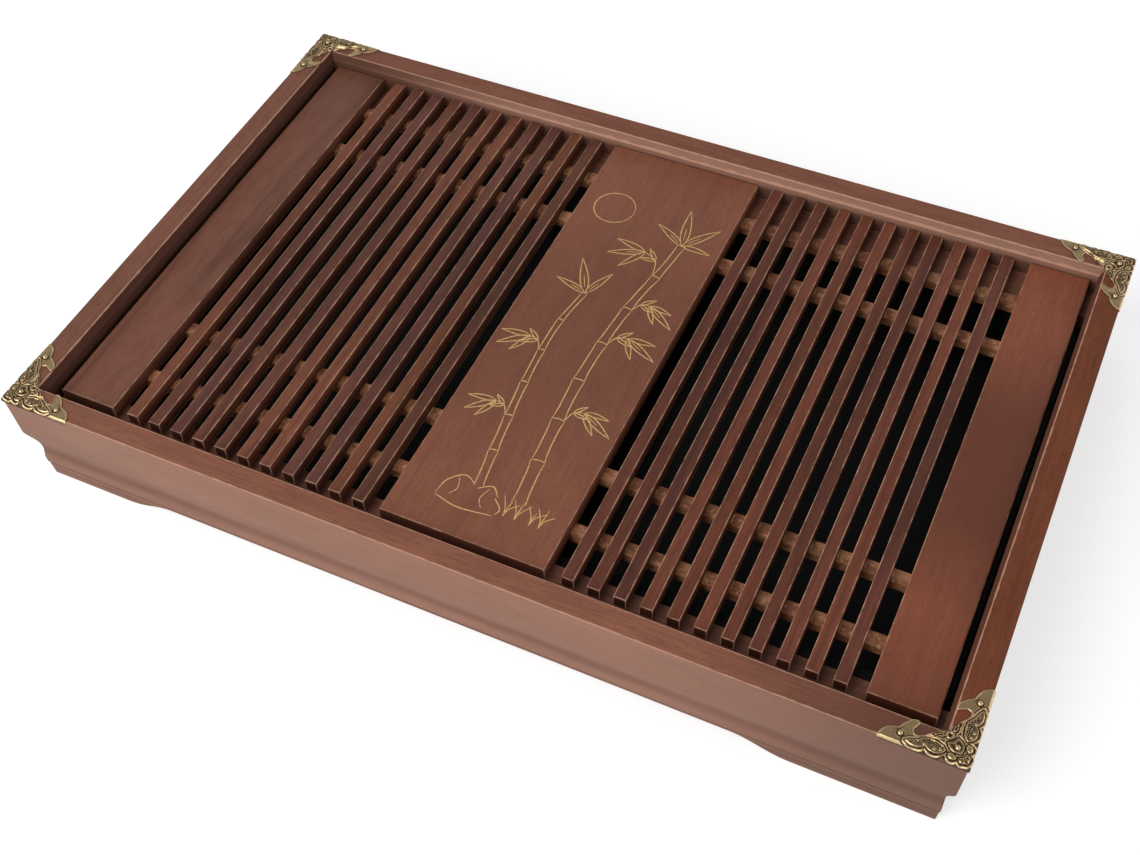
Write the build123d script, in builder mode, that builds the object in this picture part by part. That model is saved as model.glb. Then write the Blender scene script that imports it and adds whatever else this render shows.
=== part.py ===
from build123d import *
import os

os.makedirs("parts", exist_ok=True)

# A tea tray: a moulded, mitred box frame on bracket feet, a slatted grille that lifts
# off, and a black drip tray below it. Origin under the middle of the tray, on the
# surface that it stands on. X runs along the long side, Y from front to back, Z up.
# All sizes are in millimetres.

# Frame, over the wooden rails
tray_length = 510.0
tray_depth = 326.2
tray_height = 68.0
rail_width = 15.0
rim_outer_radius = 0.7

# Slope along the inner edge of a rail's top
slope_width = 2.2
slope_height = 4.8
slope_radius = 0.8

# Moulding on the outer face of a rail, from the rim down
fascia_height = 28.0
fascia_lean = 1.0
shoulder_drop = 5.6
shoulder_in = 1.4
cove_drop = 11.8
cove_in = 2.9
belly_drop = 8.6
belly_out = 0.8
neck_in = 0.2
quirk_height = 1.1
quirk_in = 0.8
foot_block_height = 9.4
foot_block_out = 0.4
foot_block_lean = 0.6

# Bracket feet, left by the cut-out along the bottom of each rail
skirt_lift = 7.9
foot_curve_run = 32.0
front_left_foot = 54.0
front_right_foot = 76.0
side_foot = 56.0

# Base board, held in a groove round the inside of the frame
base_board_lift = 12.0
base_board_thickness = 4.0
groove_depth = 4.0
board_play = 0.4

# Ledges that carry the grille, inside the front and back rails
ledge_width = 18.2
ledge_thickness = 10.0
ledge_radius = 0.8

# Grille. It sits against the back, with its play at the front, as in the photograph
grille_drop = 8.0
front_play = 7.0
back_play = 0.5
side_play = 3.6
centre_plank_width = 90.0
side_plank_width = 32.7
plank_thickness = 10.0
plank_edge_radius = 1.0
slat_count = 11
slat_width = 6.6
slat_height = 7.4
slat_edge_radius = 0.7
field_end_gap = 8.75
batten_width = 7.6
batten_thickness = 6.0
batten_chamfer = 0.4
batten_end_inset = 9.0
front_batten_places = (31.7, 68.6)
back_batten_places = (24.4, 59.9)

# Drip tray
drip_tray_play = 1.0
drip_tray_headroom = 1.6
drip_wall = 2.0
drip_rim_width = 5.0
drip_rim_thickness = 1.8
drip_corner_radius = 9.0
drip_draft_angle = 4.0
drip_floor_radius = 2.5

# Brass corner brackets
brass_thickness = 0.9
bracket_leg = 40.5
bracket_lip_drop = 2.6
relief_height = 0.5
nail_head_radius = 1.35
nail_head_height = 0.8
nail_shank_radius = 0.55
nail_shank_length = 8.0
nail_clearance = 0.05

# One overrun for every cut
overrun = 5.0

inner_length = tray_length - 2 * rail_width
inner_depth = tray_depth - 2 * rail_width
rim_z = tray_height
grille_top_z = tray_height - grille_drop
slat_bottom_z = grille_top_z - slat_height
ledge_top_z = grille_top_z - plank_thickness
batten_bottom_z = slat_bottom_z - batten_thickness
base_top_z = base_board_lift + base_board_thickness
drip_rim_z = batten_bottom_z - drip_tray_headroom


def write(built, name):
    built.part.label = name
    export_step(built.part, f"parts/{name}.step")


# Rails


def moulding_section():
    """Section of a rail: x runs inwards from the outer face, y runs up."""
    fascia = (fascia_lean, rim_z - fascia_height)
    shoulder = (fascia[0] + shoulder_in, fascia[1] - shoulder_drop)
    cove = (shoulder[0] + cove_in, shoulder[1] - cove_drop)
    belly = (cove[0] - belly_out, cove[1] - belly_drop)
    neck = (belly[0] + neck_in, foot_block_height + quirk_height)
    quirk = (neck[0] + quirk_in, foot_block_height)
    block = (quirk[0] - foot_block_out, foot_block_height)
    foot_inner = (block[0] + foot_block_lean, 0)
    slope_foot = (rail_width, rim_z - slope_height)
    slope_top = (rail_width - slope_width, rim_z)
    groove_middle = base_board_lift + base_board_thickness / 2
    with BuildSketch() as section:
        with BuildLine():
            face = Line((0, rim_z), fascia)
            Spline(fascia, shoulder, cove, belly, neck, tangents=(face % 1, (0, -1)))
            Polyline(neck, (quirk[0], neck[1]), quirk, block, foot_inner)
            Polyline(foot_inner, (rail_width, 0), slope_foot, slope_top, (0, rim_z))
        make_face()
        with Locations((rail_width - groove_depth / 2, groove_middle)):
            Rectangle(groove_depth, base_board_thickness, mode=Mode.SUBTRACT)
        rim_corners = section.vertices().group_by(Axis.Y)[-1].sort_by(Axis.X)
        fillet(rim_corners[0], radius=rim_outer_radius)
        rim_corners = section.vertices().group_by(Axis.Y)[-1].sort_by(Axis.X)
        fillet(rim_corners[-1], radius=slope_radius)
    return section.sketch


def cut_out(length, left_foot, right_foot):
    """The space between the two feet of a rail: x along the rail, y up."""
    left = -length / 2 + left_foot
    right = length / 2 - right_foot
    level = ((1, 0), (1, 0))
    skirt_left = (left + foot_curve_run, skirt_lift)
    skirt_right = (right - foot_curve_run, skirt_lift)
    with BuildSketch() as gap:
        with BuildLine():
            Spline((left, 0), skirt_left, tangents=level)
            Line(skirt_left, skirt_right)
            Spline(skirt_right, (right, 0), tangents=level)
            Polyline((right, 0), (right, -overrun), (left, -overrun), (left, 0))
        make_face()
    return gap.sketch


def rail(side, length, left_foot, right_foot):
    """One rail. The side plane faces outwards, with its x along the rail."""
    along = side.x_dir
    inward = side.z_dir * -1
    feet = cut_out(length, left_foot, right_foot)
    with BuildPart() as built:
        with BuildSketch(Plane(origin=side.origin, x_dir=inward, z_dir=along)):
            add(rail_section)
        extrude(amount=length / 2, both=True)
        with BuildSketch(side):
            add(feet)
        extrude(amount=-rail_width, mode=Mode.SUBTRACT)
        for end in (1, -1):
            corner = side.origin + along * (end * length / 2)
            mitre = Plane(origin=corner, z_dir=along * end + inward)
            split(bisect_by=mitre, keep=Keep.BOTTOM)
    return built


rail_section = moulding_section()
front_side = Plane(origin=(0, -tray_depth / 2, 0), x_dir=(1, 0, 0), z_dir=(0, -1, 0))
back_side = Plane(origin=(0, tray_depth / 2, 0), x_dir=(-1, 0, 0), z_dir=(0, 1, 0))
left_side = Plane(origin=(-tray_length / 2, 0, 0), x_dir=(0, -1, 0), z_dir=(-1, 0, 0))
right_side = Plane(origin=(tray_length / 2, 0, 0), x_dir=(0, 1, 0), z_dir=(1, 0, 0))

write(rail(front_side, tray_length, front_left_foot, front_right_foot), "rail_front")
write(rail(back_side, tray_length, front_right_foot, front_left_foot), "rail_back")
write(rail(left_side, tray_depth, side_foot, side_foot), "rail_left")
write(rail(right_side, tray_depth, side_foot, side_foot), "rail_right")


# Base board and ledges

with BuildPart() as base_board:
    with BuildSketch(Plane.XY.offset(base_board_lift)):
        reach = groove_depth - board_play
        Rectangle(inner_length + 2 * reach, inner_depth + 2 * reach)
    extrude(amount=base_board_thickness)
write(base_board, "base_board")


def ledge(towards_back):
    """A strip glued along the inside of the front (-1) or back (1) rail."""
    middle_y = towards_back * (inner_depth - ledge_width) / 2
    with BuildPart() as built:
        with BuildSketch(Plane.XY.offset(ledge_top_z)):
            with Locations((0, middle_y)):
                Rectangle(inner_length, ledge_width)
        extrude(amount=-ledge_thickness)
        top_edges = built.edges().filter_by(Axis.X).group_by(Axis.Z)[-1].sort_by(Axis.Y)
        fillet(top_edges[0] if towards_back > 0 else top_edges[-1], radius=ledge_radius)
    return built


write(ledge(-1), "ledge_front")
write(ledge(1), "ledge_back")


# Drip tray: a thin moulded box with tapered walls and a flat rim

drip_length = inner_length - 2 * drip_tray_play
drip_depth = inner_depth - 2 * (ledge_width + drip_tray_play)
drip_height = drip_rim_z - base_top_z


def taper_size(size, height):
    """Size of the tray body at this height above its floor's underside."""
    top = size - 2 * drip_rim_width
    slope = Vector(1, 0).rotate(Axis.Z, drip_draft_angle)
    return top - 2 * (drip_height - height) * slope.Y / slope.X


def tray_outline(inset, z):
    """Rounded outline of the walls' outer face, or of the inner one by an inset."""
    length = taper_size(drip_length, z - base_top_z) - 2 * inset
    depth = taper_size(drip_depth, z - base_top_z) - 2 * inset
    with BuildSketch(Plane.XY.offset(z)) as outline:
        RectangleRounded(length, depth, drip_corner_radius - inset)
    return outline.sketch


floor_z = base_top_z + drip_wall
outer_outlines = [tray_outline(0, base_top_z), tray_outline(0, drip_rim_z)]
inner_outlines = [tray_outline(drip_wall, floor_z), tray_outline(drip_wall, drip_rim_z)]

with BuildPart() as drip_tray:
    loft(outer_outlines, ruled=True)
    with BuildSketch(Plane.XY.offset(drip_rim_z)):
        RectangleRounded(drip_length, drip_depth, drip_corner_radius + drip_rim_width)
    extrude(amount=-drip_rim_thickness)
    loft(inner_outlines, ruled=True, mode=Mode.SUBTRACT)
    floor = drip_tray.faces().filter_by(GeomType.PLANE).sort_by(Axis.Z)[1]
    fillet(floor.edges(), radius=drip_floor_radius)
write(drip_tray, "drip_tray")


# Grille

plank_length = inner_depth - front_play - back_play
grille_front_y = -inner_depth / 2 + front_play
grille_back_y = grille_front_y + plank_length
grille_middle_y = (grille_front_y + grille_back_y) / 2
grille_length = inner_length - 2 * side_play
field_width = grille_length / 2 - side_plank_width - centre_plank_width / 2
slats_and_ends = slat_count * slat_width + 2 * field_end_gap
slat_gap = (field_width - slats_and_ends) / (slat_count - 1)
slat_pitch = slat_width + slat_gap
batten_rows = [grille_front_y + place for place in front_batten_places]
batten_rows += [grille_back_y - place for place in reversed(back_batten_places)]


def plank(middle_x, width, batten_low_x, batten_high_x):
    """A flat board with grooves below that the battens lie in."""
    with BuildPart() as built:
        with BuildSketch(Plane.XY.offset(ledge_top_z)):
            with Locations((middle_x, grille_middle_y)):
                Rectangle(width, plank_length)
        extrude(amount=plank_thickness)
        fillet(built.faces().sort_by(Axis.Z)[-1].edges(), radius=plank_edge_radius)
        with BuildSketch(Plane.XY.offset(slat_bottom_z)):
            groove_length = batten_high_x - batten_low_x
            groove_x = (batten_low_x + batten_high_x) / 2
            with Locations([(groove_x, row) for row in batten_rows]):
                Rectangle(groove_length, batten_width)
        extrude(amount=-overrun, mode=Mode.SUBTRACT)
    return built


side_middle = (grille_length - side_plank_width) / 2
batten_end = grille_length / 2 - batten_end_inset
side_inner = grille_length / 2 - side_plank_width
centre_edge = centre_plank_width / 2
write(plank(-side_middle, side_plank_width, -batten_end, -side_inner), "plank_left")
write(plank(0, centre_plank_width, -centre_edge, centre_edge), "plank_centre")
write(plank(side_middle, side_plank_width, side_inner, batten_end), "plank_right")


def slat(middle_x):
    """A square bar with its upper edges rounded."""
    with BuildPart() as built:
        with BuildSketch(Plane.XY.offset(slat_bottom_z)):
            with Locations((middle_x, grille_middle_y)):
                Rectangle(slat_width, plank_length)
        extrude(amount=slat_height)
        fillet(built.faces().sort_by(Axis.Z)[-1].edges(), radius=slat_edge_radius)
    return built


first_slat = centre_edge + field_end_gap + slat_width / 2
for number in range(slat_count):
    step = first_slat + number * slat_pitch
    write(slat(-step), f"slat_left_{slat_count - number:02d}")
    write(slat(step), f"slat_right_{number + 1:02d}")


def batten(row):
    """A strip across the grille, under the slats and let into the planks."""
    with BuildPart() as built:
        with BuildSketch(Plane.XY.offset(slat_bottom_z)):
            with Locations((0, row)):
                Rectangle(2 * batten_end, batten_width)
        extrude(amount=-batten_thickness)
        chamfer(built.faces().sort_by(Axis.Z)[0].edges(), length=batten_chamfer)
    return built


for number, row in enumerate(batten_rows, start=1):
    write(batten(row), f"batten_{number}")


# Brass corner brackets. Points are shares of the leg: x along a leg, y across it,
# both from the tray's outer corner, for the half on one side of the mitre.

tip_shares = [(1.0, 0.0), (0.97, 0.075), (0.91, 0.132), (0.81, 0.17)]
leaf_shares = [(0.81, 0.17), (0.765, 0.242), (0.697, 0.308), (0.64, 0.32),
               (0.617, 0.295), (0.634, 0.252), (0.66, 0.205)]
notch_shares = [(0.66, 0.205), (0.644, 0.165), (0.607, 0.15), (0.548, 0.173),
                (0.469, 0.242)]
feeler_shares = [(0.469, 0.242), (0.415, 0.281), (0.355, 0.294)]
head_shares = [(0.355, 0.294), (0.35, 0.319), (0.326, 0.326)]
wing_upper_shares = [(0.723, 0.052), (0.627, 0.099), (0.494, 0.18), (0.36, 0.176)]
wing_inner_shares = [(0.36, 0.176), (0.3, 0.12), (0.257, 0.072)]
wing_lobe_shares = [(0.257, 0.072), (0.321, 0.007), (0.38, 0.0), (0.435, 0.01),
                    (0.472, 0.03)]
wing_edge_shares = [(0.472, 0.03), (0.536, 0.005), (0.598, 0.0), (0.662, 0.01),
                    (0.723, 0.052)]
body_shares = [(0.304, 0.19), (0.22, 0.116), (0.119, 0.104)]
lobe_share = (0.207, 0.035)
lobe_radius_share = 0.045
fan_share = (0.088, 0.088)
fan_radius_share = 0.078
ring_share = (0.288, 0.288)
ring_radius_share = 0.04
ring_hole_share = 0.018
leg_nail_share = (0.776, 0.1)
body_nail_share = (0.175, 0.175)

corner = Vector(-tray_length / 2, -tray_depth / 2)
corner_top = Plane(origin=(corner.X, corner.Y, rim_z))
plate_top = Plane(origin=(corner.X, corner.Y, rim_z + brass_thickness))
mitre_line = Plane(origin=(0, 0, 0), z_dir=(1, -1, 0))


def on_leg(shares):
    return [(x * bracket_leg, y * bracket_leg) for x, y in shares]


def plate_outline():
    """The flat outline of a bracket, mirrored across the mitre."""
    tip = (bracket_leg, -brass_thickness)
    with BuildSketch() as outline:
        with BuildLine():
            Polyline((-brass_thickness, -brass_thickness), tip, (bracket_leg, 0))
            Spline(*on_leg(tip_shares))
            Spline(*on_leg(leaf_shares))
            Spline(*on_leg(notch_shares))
            Spline(*on_leg(feeler_shares))
            Spline(*on_leg(head_shares))
            mirror(about=mitre_line)
        make_face()
    return outline.sketch


def relief_outlines():
    """The butterfly that stands above the plate: wings, body, lobes and head ring."""
    base, waist, tail = on_leg(body_shares)
    with BuildSketch() as relief:
        with BuildLine():
            Spline(*on_leg(wing_upper_shares))
            Spline(*on_leg(wing_inner_shares))
            Spline(*on_leg(wing_lobe_shares))
            Spline(*on_leg(wing_edge_shares))
        make_face()
        with Locations(on_leg([lobe_share])):
            Circle(bracket_leg * lobe_radius_share)
        mirror(about=mitre_line)
        with BuildLine():
            Spline(base, waist, tail)
            Line(tail, tail[::-1])
            Spline(tail[::-1], waist[::-1], base[::-1])
            Line(base[::-1], base)
        make_face()
        with Locations(on_leg([fan_share])):
            Circle(bracket_leg * fan_radius_share)
        with Locations(on_leg([ring_share])):
            Circle(bracket_leg * ring_radius_share)
            Circle(bracket_leg * ring_hole_share, mode=Mode.SUBTRACT)
    return relief.sketch


bracket_plate = plate_outline()
butterfly = relief_outlines()
nail_places = on_leg([leg_nail_share, leg_nail_share[::-1], body_nail_share])

with BuildPart() as bracket_front_left:
    with BuildSketch(corner_top):
        add(bracket_plate)
    extrude(amount=brass_thickness)
    with BuildSketch(plate_top):
        add(butterfly)
    extrude(amount=relief_height)
    with BuildSketch(corner_top):
        lip_length = bracket_leg + brass_thickness
        half_lip = lip_length / 2 - brass_thickness
        with Locations((half_lip, -brass_thickness / 2)):
            Rectangle(lip_length, brass_thickness)
        with Locations((-brass_thickness / 2, half_lip)):
            Rectangle(brass_thickness, lip_length)
    extrude(amount=-bracket_lip_drop)
    with BuildSketch(corner_top):
        with Locations(nail_places):
            Circle(nail_shank_radius + nail_clearance)
    extrude(amount=overrun, mode=Mode.SUBTRACT)

with BuildPart() as bracket_front_right:
    mirror(bracket_front_left.part, about=Plane.YZ)

with BuildPart() as bracket_back_left:
    mirror(bracket_front_left.part, about=Plane.XZ)

with BuildPart() as bracket_back_right:
    mirror(bracket_front_right.part, about=Plane.XZ)

write(bracket_front_left, "bracket_front_left")
write(bracket_front_right, "bracket_front_right")
write(bracket_back_left, "bracket_back_left")
write(bracket_back_right, "bracket_back_right")


# Domed brass nails, three to a bracket, driven through it into the rails

with BuildPart() as bracket_nails:
    head_seats = [brass_thickness, brass_thickness, brass_thickness + relief_height]
    for place, seat in zip(nail_places, head_seats):
        stand = Plane(
            origin=(corner.X + place[0], corner.Y + place[1], rim_z + seat),
            x_dir=(1, 0, 0),
            z_dir=(0, -1, 0),
        )
        with BuildSketch(stand):
            with BuildLine():
                rise = nail_head_height
                crown = (nail_head_radius * 2 / 3, rise * 2 / 3)
                ThreePointArc((0, rise), crown, (nail_head_radius, 0))
                Polyline(
                    (nail_head_radius, 0),
                    (nail_shank_radius, 0),
                    (nail_shank_radius, -nail_shank_length),
                    (0, -nail_shank_length),
                    (0, rise),
                )
            make_face()
        revolve(axis=Axis(stand.origin, (0, 0, 1)))
    mirror(about=Plane.YZ)
    mirror(about=Plane.XZ)
write(bracket_nails, "bracket_nails")
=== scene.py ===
# %% [markdown]
# # A gongfu tea tray
# Tea is poured over the cups on this tray, and what spills runs between the slats into a
# black drip tray. A moulded, mitred wooden box stands on four bracket feet. In it lies a
# slatted grille that lifts off, and on its corners sit embossed brass butterflies.
#
# The construction model comes first, as a fixed frame: every rail, plank, slat and batten
# is already there at its real size. This script gives each of them its finish, replaces
# the plain brass corners and nails with finely worked ones, and adds the glue, the line
# drawing, the floor, the lamps and the camera. One unit is a metre.

# %% Load the frame
from math import cos, pi, radians, sin, tau
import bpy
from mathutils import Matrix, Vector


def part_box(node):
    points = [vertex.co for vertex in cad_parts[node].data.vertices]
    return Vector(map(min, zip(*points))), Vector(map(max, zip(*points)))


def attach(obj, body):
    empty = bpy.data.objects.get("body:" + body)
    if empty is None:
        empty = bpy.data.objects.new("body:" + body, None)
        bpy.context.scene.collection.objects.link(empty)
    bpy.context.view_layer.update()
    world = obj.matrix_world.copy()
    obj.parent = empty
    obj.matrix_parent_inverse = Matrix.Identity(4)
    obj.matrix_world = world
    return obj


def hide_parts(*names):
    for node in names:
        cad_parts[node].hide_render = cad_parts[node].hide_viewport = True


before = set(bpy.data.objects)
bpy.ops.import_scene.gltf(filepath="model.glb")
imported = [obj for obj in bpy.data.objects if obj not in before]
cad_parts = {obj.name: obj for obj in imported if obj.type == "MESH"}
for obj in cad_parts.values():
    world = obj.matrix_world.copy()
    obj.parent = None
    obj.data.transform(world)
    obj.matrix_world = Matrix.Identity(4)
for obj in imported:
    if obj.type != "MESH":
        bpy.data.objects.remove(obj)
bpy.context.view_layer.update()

from types import SimpleNamespace

import bmesh
import bpy
import numpy as np
from mathutils import Matrix, Vector

MM = 0.001

# %% [markdown]
# ## The camera
# The photograph looks down at the tray from the front right. Its place was found from the
# four corners of the frame: they fix where the eye is, how it is turned and how long the
# lens is. A matrix made of three plain turns keeps each angle readable: round the upright
# axis, then down, then a small tilt of the picture itself.

# %% Set up the camera
eye = Vector((0.2382, -0.4828, 0.6633))
azimuth = radians(27.183)
elevation = radians(51.639)
tilt = radians(-2.910)

aim = Matrix.Rotation(azimuth, 4, "Z") @ Matrix.Rotation(pi / 2 - elevation, 4, "X")
camera = bpy.data.objects.new("camera", bpy.data.cameras.new("camera"))
camera.matrix_world = Matrix.Translation(eye) @ aim @ Matrix.Rotation(tilt, 4, "Z")
camera.data.lens = 47.80
camera.data.clip_start = 10 * MM
bpy.context.scene.collection.objects.link(camera)
bpy.context.scene.camera = camera
print("camera at", [round(v, 3) for v in eye], "lens", camera.data.lens, "mm")

# %% [markdown]
# ## Shader nodes, written short
# A material is a tree of nodes. Small helpers keep the trees readable. The first two set
# and link the inputs of any node, and the others each make one common node and hand back
# what comes out of it.


# %% Helpers for nodes
def set_inputs(tree, node, inputs):
    """Each input is linked to a socket or set to a plain value."""
    for key, value in inputs.items():
        if isinstance(value, bpy.types.NodeSocket):
            tree.links.new(value, node.inputs[key])
        else:
            node.inputs[key].default_value = value


def add_node(tree, kind, inputs=None, **settings):
    """A node of this kind, with its settings, and its inputs set or linked."""
    made = tree.nodes.new("ShaderNode" + kind)
    for name, value in settings.items():
        setattr(made, name, value)
    set_inputs(tree, made, inputs or {})
    return made


def sum_of(tree, operation, *values):
    """The result of one Math node."""
    return add_node(tree, "Math", dict(enumerate(values)), operation=operation).outputs[0]


def vector_of(tree, operation, *values):
    """The result of one Vector Math node."""
    inputs = dict(enumerate(values))
    return add_node(tree, "VectorMath", inputs, operation=operation).outputs[0]


def parts_of(tree, vector):
    """The X, Y and Z of a vector."""
    return add_node(tree, "SeparateXYZ", {0: vector}).outputs


def blend_of(tree, factor, first, second):
    """Two colours mixed by a factor. A colour is a socket or three numbers."""
    inputs = {0: factor}
    for key, colour in ((6, first), (7, second)):
        inputs[key] = colour if isinstance(colour, bpy.types.NodeSocket) else (*colour, 1)
    return add_node(tree, "Mix", inputs, data_type="RGBA").outputs[2]


def ramp_of(tree, value, low, high, start=0.0, end=1.0):
    """A value brought smoothly from one range into another."""
    inputs = {0: value, 1: low, 2: high, 3: start, 4: end}
    return add_node(tree, "MapRange", inputs, interpolation_type="SMOOTHSTEP").outputs[0]


def noise_of(tree, place, scale, detail, seed=None):
    """A noise that swings about this often in a metre. A seed gives it another pattern."""
    inputs = {"Vector": place, "Scale": scale, "Detail": detail}
    if seed is None:
        return add_node(tree, "TexNoise", inputs).outputs[0]
    inputs["W"] = seed
    return add_node(tree, "TexNoise", inputs, noise_dimensions="4D").outputs[0]


def bump_of(tree, height, strength, depth):
    """A normal for a surface that is uneven by up to this depth in mm."""
    inputs = {"Strength": strength, "Distance": depth * MM, "Height": height}
    return add_node(tree, "Bump", inputs).outputs[0]


def object_place(tree):
    """Where a point of the surface lies on the object, in metres."""
    return add_node(tree, "TexCoord").outputs["Object"]


# %% [markdown]
# An effect that several materials share is a node group. It is built once, with named
# inputs and outputs, and each material places it with values of its own.


# %% Helpers for groups and materials
def new_group(name, inputs, outputs):
    """An empty node group with its sockets: its tree, what it is given, its output node."""
    tree = bpy.data.node_groups.new(name, "ShaderNodeTree")
    for direction, sockets in (("INPUT", inputs), ("OUTPUT", outputs)):
        for socket_name, kind in sockets.items():
            tree.interface.new_socket(
                name=socket_name, in_out=direction, socket_type="NodeSocket" + kind
            )
    given = tree.nodes.new("NodeGroupInput").outputs
    return tree, given, tree.nodes.new("NodeGroupOutput")


def use_group(tree, name, inputs):
    """What comes out of a group that is placed in a material with these values."""
    return add_node(tree, "Group", inputs, node_tree=bpy.data.node_groups[name]).outputs


def new_material(name):
    """A material with a Principled shader, and its tree and shader node."""
    material = bpy.data.materials.new(name)
    material.use_nodes = True
    return material, material.node_tree, material.node_tree.nodes["Principled BSDF"]


# %% [markdown]
# ## Grain
# The tray is a close-grained hardwood under a dark red-brown stain. Five things show in
# it: growth rings cut lengthwise, which are thin long lines; fibres, finer and shorter;
# pores, tiny dark dashes; mottle, a curl in the grain that crosses the board in soft
# blotches; and clouds, where the stain took more or less. Each is a noise stretched along
# the board. Rings come from one broad noise cut into steps, because the edges of the steps
# run like the lines on sawn wood. A fourth coordinate, the seed, gives each board its own
# piece of the tree.


# %% Build the grain group
def build_grain():
    """The group that gives the five marks of the grain, each as a number."""
    tree, given, result = new_group(
        "grain",
        {"Place": "Vector", "Seed": "Float", "Rings": "Float"},
        {name: "Float" for name in ("Rings", "Fibres", "Pores", "Mottle", "Clouds")},
    )

    def stretched_noise(along, across, detail):
        """Noise with this many swings to a metre, along the board and across it."""
        place = vector_of(tree, "MULTIPLY", given["Place"], (along, across, across))
        return noise_of(tree, place, 1.0, detail, given["Seed"])

    steps = sum_of(tree, "MULTIPLY", stretched_noise(2.2, 34.0, 1.0), given["Rings"])
    swing = sum_of(tree, "PINGPONG", steps, 0.5)
    late_wood = sum_of(tree, "POWER", sum_of(tree, "MULTIPLY", swing, 2.0), 4.0)
    set_inputs(tree, result, {
        "Rings": late_wood,
        "Fibres": stretched_noise(45.0, 950.0, 3.0),
        "Pores": ramp_of(tree, stretched_noise(240.0, 1700.0, 1.0), 0.58, 0.7),
        "Mottle": stretched_noise(75.0, 120.0, 3.0),
        "Clouds": stretched_noise(9.0, 26.0, 2.0),
    })
    return tree


print("group:", build_grain().name)

# %% [markdown]
# ## Worn arrises
# Hands and cloths rub a finish thin on the sharp edges of a board, its arrises, and the
# paler wood shows there as a fine line. Each board fills a box of known size, so the
# distance to its nearest arris is a short sum: of the three distances to the box's
# faces, one is zero on the surface and the next larger one is the distance to an edge.
# A noise makes the line thicker here and thinner there.


# %% Build the worn arris group
def build_worn_arris():
    """The group that masks the worn edges of a box, given by its middle and half sizes."""
    tree, given, result = new_group(
        "worn_arris",
        {"Place": "Vector", "Middle": "Vector", "Half": "Vector", "Width": "Float"},
        {"Mask": "Float"},
    )
    offset = vector_of(tree, "SUBTRACT", given["Place"], given["Middle"])
    reach = vector_of(tree, "ABSOLUTE", offset)
    x, y, z = parts_of(tree, vector_of(tree, "SUBTRACT", given["Half"], reach))
    nearer = sum_of(tree, "MINIMUM", x, y)
    farther = sum_of(tree, "MAXIMUM", x, y)
    middle_one = sum_of(tree, "MAXIMUM", nearer, sum_of(tree, "MINIMUM", farther, z))
    uneven = ramp_of(tree, noise_of(tree, given["Place"], 160.0, 3.0), 0.3, 0.7, 0.6, 1.25)
    width = sum_of(tree, "MULTIPLY", given["Width"], uneven)
    share = sum_of(tree, "DIVIDE", middle_one, width)
    set_inputs(tree, result, {"Mask": ramp_of(tree, share, 0.35, 1.0, 1.0, 0.0)})
    return tree


print("group:", build_worn_arris().name)

# %% [markdown]
# ## Stained wood
# One recipe makes every stained board. It starts by reading the board: which way its
# grain runs, where a point lies along it, how high up it is and which way the surface
# faces there. Stain, wear, darker ends and the painted light and shade all follow from
# these.

# %% Read a board
ALONG_X = (0.0, 0.0, 0.0)
ALONG_Y = (0.0, 0.0, pi / 2)

# Just past the ends of the boards, where a board's darkening toward an end is full.
END_X = 270 * MM
END_Y = 165 * MM


def read_board(tree, along, seed):
    """What the finish of one board needs to know about a point of its surface."""
    surface = add_node(tree, "TexCoord").outputs
    place = surface["Object"]
    turned = add_node(tree, "Mapping", {"Vector": place, "Rotation": along}).outputs[0]
    at, facing = parts_of(tree, place), parts_of(tree, surface["Normal"])
    lengthwise, crosswise, end = ("X", "Y", END_X) if along == ALONG_X else ("Y", "X", END_Y)
    return SimpleNamespace(
        place=place,
        grain=use_group(tree, "grain", {"Place": turned, "Seed": seed, "Rings": 7.0}),
        run=at[lengthwise],
        ends=(-end, end),
        height=at["Z"],
        sideways=facing[crosswise],
        side_on=sum_of(tree, "ABSOLUTE", facing[crosswise]),
        end_on=sum_of(tree, "ABSOLUTE", facing[lengthwise]),
    )


def toward_ends(tree, board, shares, start, stop):
    """A mask for each darkened end, which grows to the share that the end is given."""
    return [ramp_of(tree, board.run, end * start, end * stop, 0.0, share)
            for end, share in zip(board.ends, shares) if share]


# %% [markdown]
# The stain goes from a light to a dark tone with the fibres, clouds and mottle, and the
# rings and pores are darker still. Tea darkens a board toward its middle, because that is
# where it is poured, and some boards are darker toward an end.

# %% Stain the grain
TEA_NEAR = 25 * MM
TEA_FAR = 110 * MM


def stain_grain(tree, board, light, dark, deep, rings, tea, end_darkening):
    """The colour of the stain in the grain, where tea has been at it, and darker toward an end.
    """
    grain = board.grain
    fibres = ramp_of(tree, grain["Fibres"], 0.33, 0.67, 0.0, 0.45)
    clouds = ramp_of(tree, grain["Clouds"], 0.3, 0.7, 0.0, 0.3)
    mottle = ramp_of(tree, grain["Mottle"], 0.3, 0.7, 0.0, 0.25)
    depth = sum_of(tree, "ADD", sum_of(tree, "ADD", fibres, clouds), mottle)
    from_middle = sum_of(tree, "ABSOLUTE", board.run)
    tea_and_ends = ramp_of(tree, from_middle, TEA_NEAR, TEA_FAR, tea, 0.0)
    for darker_end in toward_ends(tree, board, end_darkening, 0.4, 1.0):
        tea_and_ends = sum_of(tree, "MAXIMUM", tea_and_ends, darker_end)
    stain = blend_of(tree, tea_and_ends, blend_of(tree, depth, light, dark), deep)
    lines = sum_of(tree, "MULTIPLY", grain["Rings"], rings)
    dashes = sum_of(tree, "MULTIPLY", grain["Pores"], 0.45)
    return blend_of(tree, sum_of(tree, "MAXIMUM", lines, dashes), stain, deep)


# %% [markdown]
# Then the faces differ. Upright faces get painted light: on the long rails a pale painted
# sheen, on the short ones painted shade. The hollows of a moulding are darkened with
# painted shade, and so is the inner wall of a rail below the top of the grille. The cut
# ends of a board drink the most stain and are nearly black.

# %% Tone the faces
# The inner wall of a rail gets painted shade: full below the first height, none above the
# second.
WALL_DARK = 57 * MM
WALL_LIT = 62 * MM


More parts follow.
